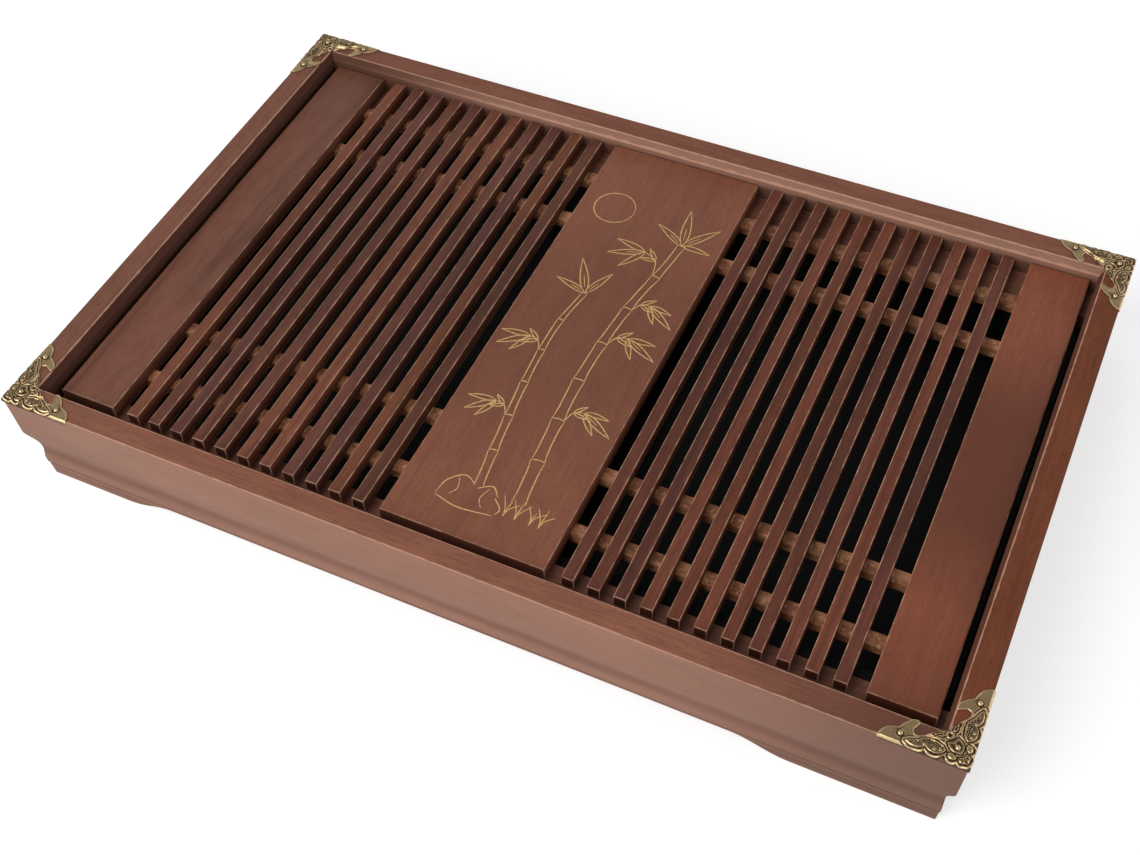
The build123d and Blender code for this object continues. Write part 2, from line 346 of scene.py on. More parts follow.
def tone_faces(tree, board, colour, deep, painted_uprights, shaded_hollows, inward):
    """The stain with painted sheen and shade on faces, hollows and inner wall, and dark ends.
    """
    # Painted light on upright faces: a pale painted sheen on the long rails, painted shade on
    # the short ones.
    if painted_uprights:
        share, tone = painted_uprights
        painted_upright = ramp_of(tree, board.side_on, 0.4, 0.9, 0.0, share)
        colour = blend_of(tree, painted_upright, colour, tone)
    # Painted shade in the hollows of the moulding.
    for middle, reach, darkness in shaded_hollows:
        above = sum_of(tree, "SUBTRACT", board.height, middle * MM)
        gap = sum_of(tree, "ABSOLUTE", above)
        colour = blend_of(tree, ramp_of(tree, gap, 0.0, reach * MM, darkness, 0.0), colour, deep)
    # Painted shade on the inner wall, below the top of the grille.
    if inward:
        faces_in = ramp_of(tree, sum_of(tree, "MULTIPLY", board.sideways, inward), 0.4, 0.8)
        low = ramp_of(tree, board.height, WALL_DARK, WALL_LIT, 0.8, 0.0)
        colour = blend_of(tree, sum_of(tree, "MULTIPLY", faces_in, low), colour, deep)
    return blend_of(tree, ramp_of(tree, board.end_on, 0.6, 0.9, 0.0, 0.75), colour, deep)


# %% [markdown]
# Last the arrises are rubbed back to paler wood. An upright face may be darkened toward an
# end with painted shade, and it is duller there as well. The bump is tiny: fibres that
# stand a few hundredths of a millimetre proud, and pores sunk between them.


# %% Finish a board
def rub_arrises(tree, board, worn_edges):
    """Where any of the worn edges shows. Each is a box and the width of its line in mm."""
    wear = None
    for low, high, width in worn_edges:
        values = {"Place": board.place, "Middle": (low + high) / 2,
                  "Half": (high - low) / 2, "Width": width * MM}
        mask = use_group(tree, "worn_arris", values)["Mask"]
        wear = mask if wear is None else sum_of(tree, "MAXIMUM", wear, mask)
    return sum_of(tree, "MULTIPLY", wear, 0.85)


def stained_wood(name, worn_edges, along, seed, tones, rings=0.2, gloss=0.5, shine=0.35,
                 tea=0.0, end_darkening=(0.0, 0.0), shaded=(0.0, 0.0), painted_uprights=None,
                 shaded_hollows=(), inward=0):
    """A finish for one board, from its light, dark and worn tones and its history."""
    material, tree, shader = new_material(name)
    light, dark, worn = tones
    deep = [v * 0.5 for v in dark]
    board = read_board(tree, along, seed)
    colour = stain_grain(tree, board, light, dark, deep, rings, tea, end_darkening)
    colour = tone_faces(tree, board, colour, deep, painted_uprights, shaded_hollows, inward)
    colour = blend_of(tree, rub_arrises(tree, board, worn_edges), colour, worn)
    rough = ramp_of(tree, board.grain["Clouds"], 0.25, 0.75, gloss - 0.05, gloss + 0.08)
    # Painted shade on upright faces toward an end, which are rougher there too.
    for ending in toward_ends(tree, board, shaded, 0.3, 0.85):
        shade = sum_of(tree, "MULTIPLY", ramp_of(tree, board.side_on, 0.4, 0.8), ending)
        colour = blend_of(tree, shade, colour, deep)
        rough = sum_of(tree, "MULTIPLY_ADD", shade, 0.3, rough)
    pores = sum_of(tree, "MULTIPLY", board.grain["Pores"], 0.8)
    standing = sum_of(tree, "SUBTRACT", board.grain["Fibres"], pores)
    set_inputs(tree, shader, {
        "Base Color": colour,
        "Roughness": rough,
        "Specular IOR Level": shine,
        "Normal": bump_of(tree, standing, 0.25, 0.06),
    })
    return material


def set_finish(node, material):
    """Gives a node of the frame its finish."""
    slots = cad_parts[node].data.materials
    slots.clear()
    slots.append(material)


def finish_board(node, line, along, seed, tones, **history):
    """Finishes a plain board. It is worn along every arris, in a line this wide in mm."""
    worn_edges = [(*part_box(node), line)]
    set_finish(node, stained_wood(f"{node}_stain", worn_edges, along, seed, tones, **history))


# %% [markdown]
# ## The box frame
# The rails are one moulding cut into four, but each took the stain a little differently.
# Their grain runs lengthwise. A narrow slope runs along the inner edge of the top, and
# hands that lift the grille have rubbed it pale along its edge, at the back along both of
# its edges. Only the front rail is worn along its outer edge too, where sleeves pass over
# it. A box that reaches far outside a rail has no worn edge there, so boxes tell the
# finish where the lines go.

# %% Say where the rails are worn
SLOPE_WIDTH = 2.2 * MM
SLOPE_HEIGHT = 4.8 * MM
FAR_OUT = 50 * MM
RAIL_LINE = 0.75


def stretched_box(low, high, inner_shift, outer_shift):
    """A box whose inner and outer sides are moved; both shifts point outwards."""
    low, high = low.copy(), high.copy()
    for axis in (0, 1):
        outward = outer_shift[axis] or inner_shift[axis]
        inner, outer = (low, high) if outward > 0 else (high, low)
        inner[axis] += inner_shift[axis]
        outer[axis] += outer_shift[axis]
    return low, high


def worn_boxes(node, inward):
    """A box whose edge is the top of the slope; at the back also one for its foot."""
    low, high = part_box(node)
    outward = -Vector(inward)
    reach = outward * (0.0 if node == "rail_front" else FAR_OUT)
    top_low, top_high = stretched_box(low, high, outward * SLOPE_WIDTH, reach)
    foot_low, foot_high = stretched_box(low, high, Vector(), outward * FAR_OUT)
    foot_high.z -= SLOPE_HEIGHT
    foot = [(foot_low, foot_high, RAIL_LINE)] if node == "rail_back" else []
    return [(top_low, top_high, RAIL_LINE), *foot]


# %% [markdown]
# Each rail has its own row: which way it runs and which way is inward, its light and its
# dark tone, and what else it is given, painted sheen and shade among it. A hollow of the
# moulding is darkened with painted shade, given by its height over the table, how far the
# shade spreads from there, and how dark it is.

# %% Finish the rails
RAIL_WORN = (0.46, 0.25, 0.165)
# A pale painted sheen on the upright faces of the long rails, and painted shade on those of the
# short ones.
PAINTED_SHEEN = (0.49, 0.315, 0.24)
PAINTED_SIDE_SHADE = (0.062, 0.024, 0.016)
# Painted shade in three hollows of the moulding: height, reach and darkness.
HOLLOW_SHADE = ((21.5, 6.5, 0.45), (9.9, 1.4, 0.9), (4.5, 4.5, 0.4))
RAILS = (
    ("rail_front", ALONG_X, (0, 1, 0), (0.285, 0.106, 0.060), (0.175, 0.061, 0.034),
     {"end_darkening": (0.3, 0.9), "shaded": (0.0, 0.25), "painted_uprights": (0.28, PAINTED_SHEEN), "shine": 0.35}),
    ("rail_back", ALONG_X, (0, -1, 0), (0.24, 0.088, 0.050), (0.15, 0.051, 0.028),
     {"end_darkening": (0.2, 0.0), "shaded": (0.9, 0.0), "painted_uprights": (0.27, PAINTED_SHEEN), "shine": 0.32}),
    ("rail_left", ALONG_Y, (1, 0, 0), (0.225, 0.098, 0.063), (0.147, 0.059, 0.039),
     {"end_darkening": (0.0, 0.1), "painted_uprights": (0.85, PAINTED_SIDE_SHADE), "shine": 0.1}),
    ("rail_right", ALONG_Y, (-1, 0, 0), (0.190, 0.054, 0.023), (0.128, 0.034, 0.013),
     {"end_darkening": (0.0, 0.1), "painted_uprights": (0.6, PAINTED_SIDE_SHADE), "shine": 0.22}),
)

for number, (node, along, inward, light, dark, history) in enumerate(RAILS):
    seed = number * 3.7 + 1.2
    tones = (light, dark, RAIL_WORN)
    stain = stained_wood(f"{node}_stain", worn_boxes(node, inward), along, seed, tones,
                         gloss=0.66, shaded_hollows=HOLLOW_SHADE, inward=sum(inward), **history)
    set_finish(node, stain)
print("rails:", [row[0] for row in RAILS])

# %% [markdown]
# The ledges and the base board hardly show, but where the grille is lifted off they are
# seen. They are plain boards, paler than the rails because no light reached them.

# %% Finish the ledges and the base board
LEDGE_TONES = ((0.32, 0.132, 0.085), (0.17, 0.065, 0.04), RAIL_WORN)
BASE_TONES = ((0.30, 0.16, 0.08), (0.18, 0.085, 0.04), RAIL_WORN)

INSIDE_BOARDS = (
    ("ledge_front", 0.6, 20.0, LEDGE_TONES),
    ("ledge_back", 0.6, 22.9, LEDGE_TONES),
    ("base_board", 0.5, 31.0, BASE_TONES),
)

for node, line, seed, tones in INSIDE_BOARDS:
    finish_board(node, line, ALONG_X, seed, tones)
print("inside boards:", [row[0] for row in INSIDE_BOARDS])

# %% [markdown]
# ## The grille
# Three planks and twenty-two slats. The planks were cut from one board, but the left one
# shows more of its rings, tea reached them unevenly, and the outer two darken toward an end.

# %% Finish the planks
PLANK_LINE = 0.68
PLANK_WORN = (0.46, 0.265, 0.15)
PLANKS = (
    ("plank_left", (0.215, 0.083, 0.050), (0.125, 0.044, 0.027),
     {"rings": 0.5, "tea": 0.1, "end_darkening": (0.0, 0.25)}),
    ("plank_centre", (0.245, 0.088, 0.049), (0.185, 0.060, 0.032), {"tea": 0.28}),
    ("plank_right", (0.275, 0.082, 0.042), (0.20, 0.056, 0.026),
     {"tea": 0.75, "end_darkening": (0.5, 0.0)}),
)

for number, (node, light, dark, history) in enumerate(PLANKS):
    seed = number * 5.3 + 40.0
    finish_board(node, PLANK_LINE, ALONG_Y, seed, (light, dark, PLANK_WORN), **history)
print("planks:", len(PLANKS))

# %% [markdown]
# The slats were sawn from odd boards, so their tones differ: a seeded random number moves
# each between a grey-brown and a red-brown. Those on the left are greyer. Most tea is
# spilt to the left of the centre plank and soaks in there, so they grow darker towards it.

# %% Finish the slats
SLAT_LINE = 0.64
SLAT_WORN = (0.50, 0.285, 0.185)
GREY_BROWN = (0.130, 0.041, 0.029)
RED_BROWN = (0.205, 0.060, 0.027)
SIDE_TINTS = {"left": (1.0, 1.12, 1.16), "right": (1.02, 1.0, 0.97)}
SLATS_TO_A_SIDE = 11
DRYNESS_AT = (-100 * MM, -50 * MM, 50 * MM)
DRYNESS = (1.05, 0.8, 1.08)

rng = np.random.default_rng(7)
for side, side_tint in SIDE_TINTS.items():
    for number in range(1, SLATS_TO_A_SIDE + 1):
        node = f"slat_{side}_{number:02d}"
        red = rng.uniform(0, 1)
        tone = rng.uniform(0.82, 1.22) * np.interp(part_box(node)[0].x, DRYNESS_AT, DRYNESS)
        light = [tone * tint * (grey_brown + (red_brown - grey_brown) * red)
                 for grey_brown, red_brown, tint in zip(GREY_BROWN, RED_BROWN, side_tint)]
        dark = [v * 0.55 for v in light]
        seed = rng.uniform(50, 90)
        finish_board(node, SLAT_LINE, ALONG_Y, seed, (light, dark, SLAT_WORN),
                     rings=0.45, shine=0.25, tea=0.3)
print("slats:", SLATS_TO_A_SIDE * len(SIDE_TINTS))

# %% [markdown]
# ## Battens
# The battens are a paler wood. They were hardly sanded, and the stain lies on them
# unevenly, with honey-coloured patches, partly where glue kept it off and partly painted
# glints of light. Small pale flecks on them are painted glints too.

# %% Finish the battens
BATTENS = [f"batten_{number}" for number in range(1, 5)]
BATTEN_STAIN = (0.33, 0.125, 0.060)
HONEY_PATCH_AND_GLINT = (0.54, 0.250, 0.120)
DARK_FIBRE = (0.110, 0.034, 0.016)
PAINTED_GLINT = (0.85, 0.50, 0.33)


def batten_wood(name, seed):
    """Rough, unevenly stained wood with honey patches and painted glints."""
    material, tree, shader = new_material(name)
    place = object_place(tree)
    grain = use_group(tree, "grain", {"Place": place, "Seed": seed, "Rings": 5.0})
    patches = noise_of(tree, place, 150.0, 5.0, seed)
    # Honey patches: partly where glue kept the stain off, partly painted glints.
    stain = blend_of(tree, ramp_of(tree, patches, 0.44, 0.58), BATTEN_STAIN, HONEY_PATCH_AND_GLINT)
    depth = ramp_of(tree, grain["Fibres"], 0.35, 0.65, 0.0, 0.35)
    fibrous = blend_of(tree, depth, stain, DARK_FIBRE)
    # Pale flecks: painted glints of light.
    pale_marks = ramp_of(tree, noise_of(tree, place, 420.0, 3.0, seed), 0.57, 0.66, 0.0, 0.45)
    set_inputs(tree, shader, {
        "Base Color": blend_of(tree, pale_marks, fibrous, PAINTED_GLINT),
        "Roughness": ramp_of(tree, patches, 0.4, 0.6, 0.65, 0.45),
        "Specular IOR Level": 0.3,
        "Normal": bump_of(tree, patches, 0.6, 0.2),
    })
    return material


for number, node in enumerate(BATTENS, 1):
    set_finish(node, batten_wood(f"{node}_wood", number * 4.1))
print("battens:", len(BATTENS))

# %% [markdown]
# ## The drip tray
# Black moulded plastic with a fine spark-eroded texture, the kind a mould gives. Most of
# it is in shadow, so what tells it is plastic is a soft grey sheen on its rim.


# %% Finish the drip tray
def moulded_plastic():
    """Black plastic with the fine texture of its mould."""
    material, tree, shader = new_material("drip_plastic")
    place = object_place(tree)
    texture = noise_of(tree, place, 2600.0, 2.0)
    pale_marks = noise_of(tree, place, 40.0, 5.0)
    black, greyish = (0.0075, 0.007, 0.007), (0.012, 0.011, 0.0105)
    set_inputs(tree, shader, {
        "Base Color": blend_of(tree, ramp_of(tree, pale_marks, 0.45, 0.7), black, greyish),
        "Roughness": ramp_of(tree, pale_marks, 0.3, 0.7, 0.38, 0.55),
        "Specular IOR Level": 0.25,
        "Normal": bump_of(tree, texture, 0.3, 0.05),
    })
    return material


set_finish("drip_tray", moulded_plastic())
print("drip tray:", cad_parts["drip_tray"].data.materials[0].name)

# %% [markdown]
# ## Brass butterfly corners
# Each corner of the box wears a thin brass plate: two legs that meet at the mitre, a
# narrow lip folded down over both outer faces, and a butterfly pressed into the top. A die
# maker draws the relief once and strikes it four times. Here too it is drawn once, as
# lines on a flat blank, in millimetres: u runs along a leg and v inward from the edge.
# Only half a plate is drawn, because its other leg is the mirror image.
#
# Every shape of the die comes from a few points with a smooth line through them, and the
# relief comes from how far each place lies from those lines.


# %% Helpers for drawn lines
def smooth_line(points, steps=5):
    """A line that bends softly through the points."""
    p = np.array(points, float)
    p = np.vstack([2 * p[0] - p[1], p, 2 * p[-1] - p[-2]])
    t = np.linspace(0, 1, steps, endpoint=False)[:, None]
    spans = []
    for a, b, c, d in zip(p, p[1:], p[2:], p[3:]):
        bend = 2 * a - 5 * b + 4 * c - d
        swing = 3 * b - 3 * c + d - a
        spans.append((2 * b + (c - a) * t + bend * t**2 + swing * t**3) / 2)
    return np.vstack([*spans, p[-2:-1]])


def closed_line(*runs):
    """A closed outline made of smooth runs that meet at points."""
    line = np.vstack([smooth_line(run) for run in runs])
    return np.vstack([line, line[:1]])


def nearest_on(places, line):
    """For each place, its distance to a line and the nearest point there."""
    best = np.full(len(places), np.inf)
    points = np.zeros_like(places)
    for a, b in zip(line, line[1:]):
        run = b - a
        share = np.clip((places - a) @ run / max(run @ run, 1e-9), 0, 1)
        candidates = a + share[:, None] * run
        gaps = np.linalg.norm(places - candidates, axis=1)
        closer = gaps < best
        best[closer] = gaps[closer]
        points[closer] = candidates[closer]
    return best, points


def is_inside(places, outline):
    """Which places a closed outline surrounds, by counting how often it is crossed."""
    crossed = np.zeros(len(places), bool)
    x, y = places.T
    for (ax, ay), (bx, by) in zip(outline, outline[1:]):
        if ay != by:
            level = (ay > y) != (by > y)
            crossed ^= level & (x < (bx - ax) * (y - ay) / (by - ay) + ax)
    return crossed


def depth_in(places, outline):
    """Distance to an outline, positive inside it and negative outside."""
    gaps = nearest_on(places, outline)[0]
    return np.where(is_inside(places, outline), gaps, -gaps)


def step_up(value, width):
    """A soft step from 0 to 1."""
    t = np.clip(value / width, 0, 1)
    return t * t * (3 - 2 * t)


def bead(gaps, width):
    """A round bead: 1 where the gap is none, 0 from one width away."""
    return np.sqrt(np.clip(1 - (gaps / width) ** 2, 0, 1))


# %% [markdown]
# The blank ends in a leaf-shaped tip with a hooked curl beside the leg's nail. The
# butterfly lies across the mitre: a fore wing along each leg, small lobes and a fan of
# tail feathers in the corner, the body on the mitre line, and two feelers at its head.

# %% Draw the blank and the butterfly
LEG = 40.5
FOLD = 0.7
LIP_DROP = 2.1
leg_nail = (31.5, 4.1)
body_nail = (7.1, 7.1)
head = (11.7, 11.7)
lip_end = FOLD - FOLD * pi / 2 - (LIP_DROP - FOLD)

free_edge = np.vstack([smooth_line(run) for run in (
    [(38.6, lip_end), (39.9, lip_end * 0.7), (LEG, 0.0), (39.3, 3.0), (36.9, 5.4), (32.8, 6.9)],
    [(32.8, 6.9), (31.0, 9.8), (28.2, 12.5), (26.0, 13.0), (25.0, 12.0), (25.7, 10.2),
     (26.7, 8.3)],
    [(26.7, 8.3), (26.1, 6.7), (24.6, 6.1), (22.2, 7.0), (19.0, 9.8)],
    [(19.0, 9.8), (16.8, 11.6), (14.5, 12.2)],
    [(14.5, 12.2), (14.2, 13.0), (13.2, 13.4)],
)])
past_mitre = [(12.6, 13.4), (-1.4, -0.6), (-1.4, lip_end), (38.6, lip_end)]
blank = np.vstack([free_edge, past_mitre])

fore_wing = closed_line(
    [(29.0, 1.7), (26.4, 3.3), (23.6, 4.5), (21.2, 6.3), (18.6, 6.9), (15.6, 6.7)],
    [(15.6, 6.7), (13.0, 5.9), (11.3, 4.1)],
    [(11.3, 4.1), (12.4, 2.2), (14.4, 1.0), (16.6, 0.8), (18.5, 1.2), (20.0, 2.3)],
    [(20.0, 2.3), (21.6, 1.0), (24.0, 0.5), (26.6, 0.7), (29.0, 1.7)],
)
wing_field = closed_line(
    [(26.6, 2.3), (23.4, 3.7), (21.0, 5.5), (18.4, 6.2), (15.4, 6.0), (12.7, 5.1)],
    [(12.7, 5.1), (13.4, 4.1), (15.4, 3.7), (17.6, 3.8), (19.6, 4.1)],
    [(19.6, 4.1), (20.6, 3.0), (22.4, 2.4), (24.6, 2.0), (26.6, 2.3)],
)
feeler = closed_line(
    [(18.6, 9.2), (17.0, 10.7), (15.2, 11.3), (13.8, 11.1)],
    [(13.8, 11.1), (13.9, 9.9), (15.6, 9.2), (18.6, 9.2)],
)
body = closed_line(
    [(12.0, 8.0), (10.8, 6.0), (8.2, 4.4), (4.7, 4.7)],
    [(4.7, 4.7), (4.4, 8.2), (6.0, 10.8), (8.0, 12.0)],
    [(8.0, 12.0), (9.4, 9.4), (12.0, 8.0)],
)
lobe = closed_line(
    [(10.4, 3.2), (10.2, 1.7), (8.9, 0.8), (7.2, 0.9), (6.2, 2.0)],
    [(6.2, 2.0), (7.4, 3.3), (9.0, 3.9), (10.4, 3.2)],
)
fan = closed_line(
    [(5.6, 2.9), (5.6, 1.6), (4.2, 0.7), (2.5, 0.9), (1.2, 1.2), (0.9, 2.5), (0.7, 4.2),
     (1.6, 5.6), (2.9, 5.6)],
    [(2.9, 5.6), (3.7, 3.7), (5.6, 2.9)],
)
wing_studs = [(20.7, 3.1), (16.2, 2.5), (13.6, 3.1)]
bars = [np.array(ends) for ends in (((20.6, 7.3), (14.9, 7.7)), ((20.0, 8.3), (15.4, 8.7)))]
feeler_slit = np.array(((16.9, 9.9), (14.9, 10.4)))
print("blank outline:", len(blank), "points, leg", LEG, "mm")


# %% [markdown]
# The relief is a sum of soft steps and beads. Beside it goes a second number for the
# colour. Mostly it is patina: brass is patinated dark all over and then buffed, so hollows
# stay dark brown while everything that stands proud shines pale gold. It also carries a
# little painted light: a painted highlight toward the tips and painted shade on the lip.
# It is stored on the mesh as an attribute, and the brass finish reads it from there.
# Heights and distances are in millimetres; the number runs from 0, bright, to 1, black.
# First comes the plain brass round the figure, with a raised rim along the free edge.


# %% Shape the ground and the outline
def lay_die(places):
    """How far places in mm lie from the lines of the die, with both legs laid on one."""
    at = np.sort(places, axis=1)[:, ::-1]
    figure = {"wing": fore_wing, "feeler": feeler, "body": body, "lobe": lobe, "fan": fan}
    return SimpleNamespace(
        at=at,
        edge=nearest_on(at, free_edge)[0],
        nail=np.linalg.norm(at - leg_nail, axis=1),
        eye=np.linalg.norm(at - head, axis=1),
        **{name: depth_in(at, outline) for name, outline in figure.items()},
    )


def strike_ground(die):
    """The plain brass: a beaded rim, a ground darkest near the figure, a painted highlight at
    the tip.
    """
    die.height = 0.5 + 0.16 * bead(die.edge - 0.32, 0.32) + 0.12 * step_up(die.edge - 0.7, 2.5)
    near_figure = 1 - step_up(die.at[:, 0] - 20.0, 6.0)
    # Paler toward the tip of the leg: a painted highlight.
    ground = 0.17 + 0.5 * near_figure - 0.14 * step_up(die.at[:, 0] - 34.0, 4.0)
    ground += 0.3 * (1 - step_up(die.nail - 1.8, 3.0))
    buffed = 1 - 0.8 * bead(die.edge - 0.25, 0.4)
    die.tarnish = ground * buffed + 0.14 * bead(die.edge - 0.95, 0.4)


def strike_outline(die):
    """A dark cut round the figure, then a bright rim and a groove that follow it."""
    shapes = (die.wing, die.feeler, die.body, die.lobe, die.fan)
    outside = -np.max([*shapes, 2.0 - die.eye], axis=0)
    cut = 0.85 * step_up(outside, 0.06) * (1 - step_up(outside - 0.34, 0.28))
    rim = bead(outside - 0.92, 0.34) * step_up(die.edge - 0.6, 0.4)
    groove = bead(outside - 1.55, 0.35) * step_up(die.edge - 1.0, 0.4)
    die.height += 0.28 * rim - 0.24 * cut - 0.14 * groove
    die.tarnish = np.max([die.tarnish * (1 - 0.85 * rim), cut, 0.85 * groove], axis=0)
    figure = np.max([step_up(depth, 0.25) for depth in shapes], axis=0)
    rubbed = np.max([bead(depth - 0.4, 0.32) for depth in shapes], axis=0)
    rubbed = np.maximum(rubbed, 0.7 * step_up(die.lobe - 0.8, 0.4))
    die.tarnish = die.tarnish * (1 - figure) + figure * (0.55 - 0.5 * rubbed)


# %% [markdown]
# Then the figure itself. The hollow of the wing is filled with small punch marks, with
# three studs and two bars beside it. The body has a spine and a hollow on either side,
# the fan has feathers, and the eye is a ring round a pit.


# %% Shape the figure
ROW_GAP = 0.9
MARK_GAP = 1.0
FEATHERS = 16
FAN_ROOT = 5.2


def wing_stipple():
    """Places of the small punch marks that fill the hollow of the wing."""
    rows = enumerate(np.arange(1.5, 7.5, ROW_GAP))
    marks = np.array([(u + MARK_GAP / 2 * (i % 2), v)
                      for i, v in rows for u in np.arange(12.5, 28, MARK_GAP)])
    return marks[depth_in(marks, wing_field) > 0.2]


def strike_wing(die):
    """The fore wing: a stippled hollow, the studs, and the bars beside the wing."""
    field = step_up(depth_in(die.at, wing_field), 0.3)
    dots = np.zeros(len(die.at))
    for mark in wing_stipple():
        dots = np.maximum(dots, bead(np.linalg.norm(die.at - mark, axis=1), 0.38))
    die.height += 0.34 * step_up(die.wing, 0.35) - 0.3 * field + 0.22 * dots
    die.tarnish = np.maximum(die.tarnish, 0.9 * field) - 0.65 * dots
    for stud in wing_studs:
        proud = bead(np.linalg.norm(die.at - stud, axis=1), 0.62)
        die.height += 0.3 * proud
        die.tarnish *= 1 - proud
    for bar in bars:
        proud = bead(nearest_on(die.at, bar)[0], 0.38)
        die.height += 0.36 * proud
        die.tarnish *= 1 - 0.9 * proud


def strike_body(die):
    """The feeler with its slit, the body, the lobe, the fan's feathers and the eye."""
    u, v = die.at.T
    slit = bead(nearest_on(die.at, feeler_slit)[0], 0.36)
    hollow = step_up(die.body - 0.75, 0.4)
    spine = bead((u - v) / 2**0.5, 0.3) * step_up(die.body - 0.8, 0.2)
    spread = np.arctan2(FAN_ROOT - v, FAN_ROOT - u) - pi / 4
    feathers = (0.5 + 0.5 * np.cos(spread * FEATHERS)) * step_up(die.fan - 0.2, 0.4)
    socket = bead(die.eye - 1.5, 0.55)
    die.height += 0.34 * step_up(die.feeler, 0.3) - 0.55 * slit
    die.height += 0.36 * step_up(die.body, 0.3) - 0.24 * hollow + 0.2 * spine
    die.height += 0.4 * step_up(die.lobe, 1.0)
    die.height += 0.38 * step_up(die.fan, 0.8) - 0.22 * feathers
    die.height += 0.42 * socket - 0.35 * step_up(1.0 - die.eye, 0.3)
    die.tarnish *= 1 - 0.8 * bead(die.eye - 1.5, 0.6)
    pit = 0.9 * step_up(0.9 - die.eye, 0.3)
    dark = [slit, 0.7 * hollow * (1 - spine), 0.8 * feathers, pit]
    die.tarnish = np.max([die.tarnish, *dark], axis=0)


def strike_nail_seat(die):
    """A raised ring round the leg's nail, dark inside."""
    die.height += 0.14 * bead(die.nail - 2.0, 0.35) - 0.1 * step_up(1.9 - die.nail, 0.4)
    die.tarnish = np.maximum(die.tarnish, 0.8 * step_up(2.3 - die.nail, 0.9))


def strike_lip(die):
    """On the lip the relief is held down, with painted shade and a painted shadow at its hem.
    """
    v = die.at[:, 1]
    on_lip = step_up(-v, 0.6)
    die.height = np.minimum(die.height, 0.85) * on_lip + die.height * (1 - on_lip)
    # Painted shade over the lip, and a painted shadow line just above its hem.
    hem = bead(v - lip_end - 0.45, 0.4)
    die.tarnish = np.maximum(die.tarnish, on_lip * (0.5 + 0.5 * hem))


def relief(places):
    """Height of the brass over the wood in mm, and its darkness from patina and painted light.
    """
    die = lay_die(places)
    for strike in (strike_ground, strike_outline, strike_wing, strike_body,
                   strike_nail_seat, strike_lip):
        strike(die)
    return die.height, np.clip(die.tarnish, 0, 1)


# %% [markdown]
# The blank is a fine grid. Its cells outside the outline are cut away and the stepped rim
# is drawn onto the line. Pulling up a second sheet gives the plate its thickness. The fold
# wraps everything below v = 0.7 round a small radius and down the face of the rail. Then
# the half is cut at the mitre and mirrored, so both legs match to the last punch mark.


# %% Press and fold half a plate
CELL = 0.16
UNDERSIDE = 0.02
rail_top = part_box("rail_front")[1].z / MM


def folded(u, v, height):
    """Where a place of the flat blank goes when its lip is folded down."""
    below = np.clip(FOLD - v, 0, None)
    turn = np.clip(below / FOLD, 0, pi / 2)
    straight = np.clip(below - FOLD * pi / 2, 0, None)
    radius = FOLD + height
    y = np.where(v > FOLD, v, FOLD - radius * np.sin(turn))
    z = rail_top - FOLD + radius * np.cos(turn) - straight
    return np.column_stack([u, y, z])


def cut_blank():
    """The flat blank as a fine grid, with its rim drawn onto the outline."""
    form = bmesh.new()
    outline = np.vstack([blank, blank[:1]])
    low, high = blank.min(axis=0), blank.max(axis=0)
    cells = np.ceil((high - low) / CELL).astype(int).tolist()
    stretch = Matrix.Diagonal((*(high - low), 1, 1))
    bmesh.ops.create_grid(
        form, x_segments=cells[0], y_segments=cells[1], size=0.5,
        matrix=Matrix.Translation((*(low + high) / 2, 0)) @ stretch,
    )
    centres = np.array([face.calc_center_median()[:2] for face in form.faces])
    kept = is_inside(centres, outline)
    waste = [face for face, keep in zip(form.faces, kept) if not keep]
    bmesh.ops.delete(form, geom=waste, context="FACES")

    rim = [vert for vert in form.verts if vert.is_boundary]
    snapped = nearest_on(np.array([vert.co[:2] for vert in rim]), outline)[1]
    for vert, place in zip(rim, snapped):
        vert.co[:2] = place
    near = {edge.other_vert(vert) for vert in rim for edge in vert.link_edges}
    near |= {edge.other_vert(vert) for vert in near for edge in vert.link_edges}
    near.difference_update(rim)
    inner = [vert for vert in form.verts if vert in near]
    for _ in range(3):
        bmesh.ops.smooth_vert(form, verts=inner, factor=0.5, use_axis_x=True, use_axis_y=True)
    return form


def press_half_plate():
    """Half a plate, struck, folded and open at the mitre."""
    form = cut_blank()
    dark = form.verts.layers.float.new("tarnish")
    under = form.faces.layers.int.new("underside")
    sheet, back = form.verts[:], form.faces[:]
    raised = bmesh.ops.extrude_face_region(form, geom=back)["geom"]
    top = [item for item in raised if isinstance(item, bmesh.types.BMVert)]
    for face in back:
        face[under] = 1
    height, tarnish = relief(np.array([vert.co[:2] for vert in top]))
    for verts, heights, shades in (
        (sheet, np.full(len(sheet), UNDERSIDE), np.ones(len(sheet))),
        (top, height, tarnish),
    ):
        u, v = np.array([vert.co[:2] for vert in verts]).T
        for vert, place, shade in zip(verts, folded(u, v, heights), shades):
            vert.co = place
            vert[dark] = shade
    return form, under


def mirror_at_mitre(form):
    """Cuts the half at the mitre, mirrors it there and closes the seam."""
    on_seam = 0.02
    merged_within = 0.004
    quarter = Matrix.Rotation(pi / 4, 3, "Z")
    bmesh.ops.rotate(form, verts=form.verts, matrix=quarter)
    everything = form.verts[:] + form.edges[:] + form.faces[:]
    bmesh.ops.bisect_plane(form, geom=everything, plane_no=(-1, 0, 0), clear_outer=True)
    for vert in form.verts:
        if abs(vert.co.x) < on_seam:
            vert.co.x = 0
    in_seam = [face for face in form.faces if not any(vert.co.x for vert in face.verts)]
    bmesh.ops.delete(form, geom=in_seam, context="FACES")
    bmesh.ops.mirror(form, geom=form.verts[:] + form.edges[:] + form.faces[:],
                     axis="X", merge_dist=0.001)
    bmesh.ops.remove_doubles(form, verts=form.verts, dist=merged_within)
    bmesh.ops.rotate(form, verts=form.verts, matrix=quarter.transposed())


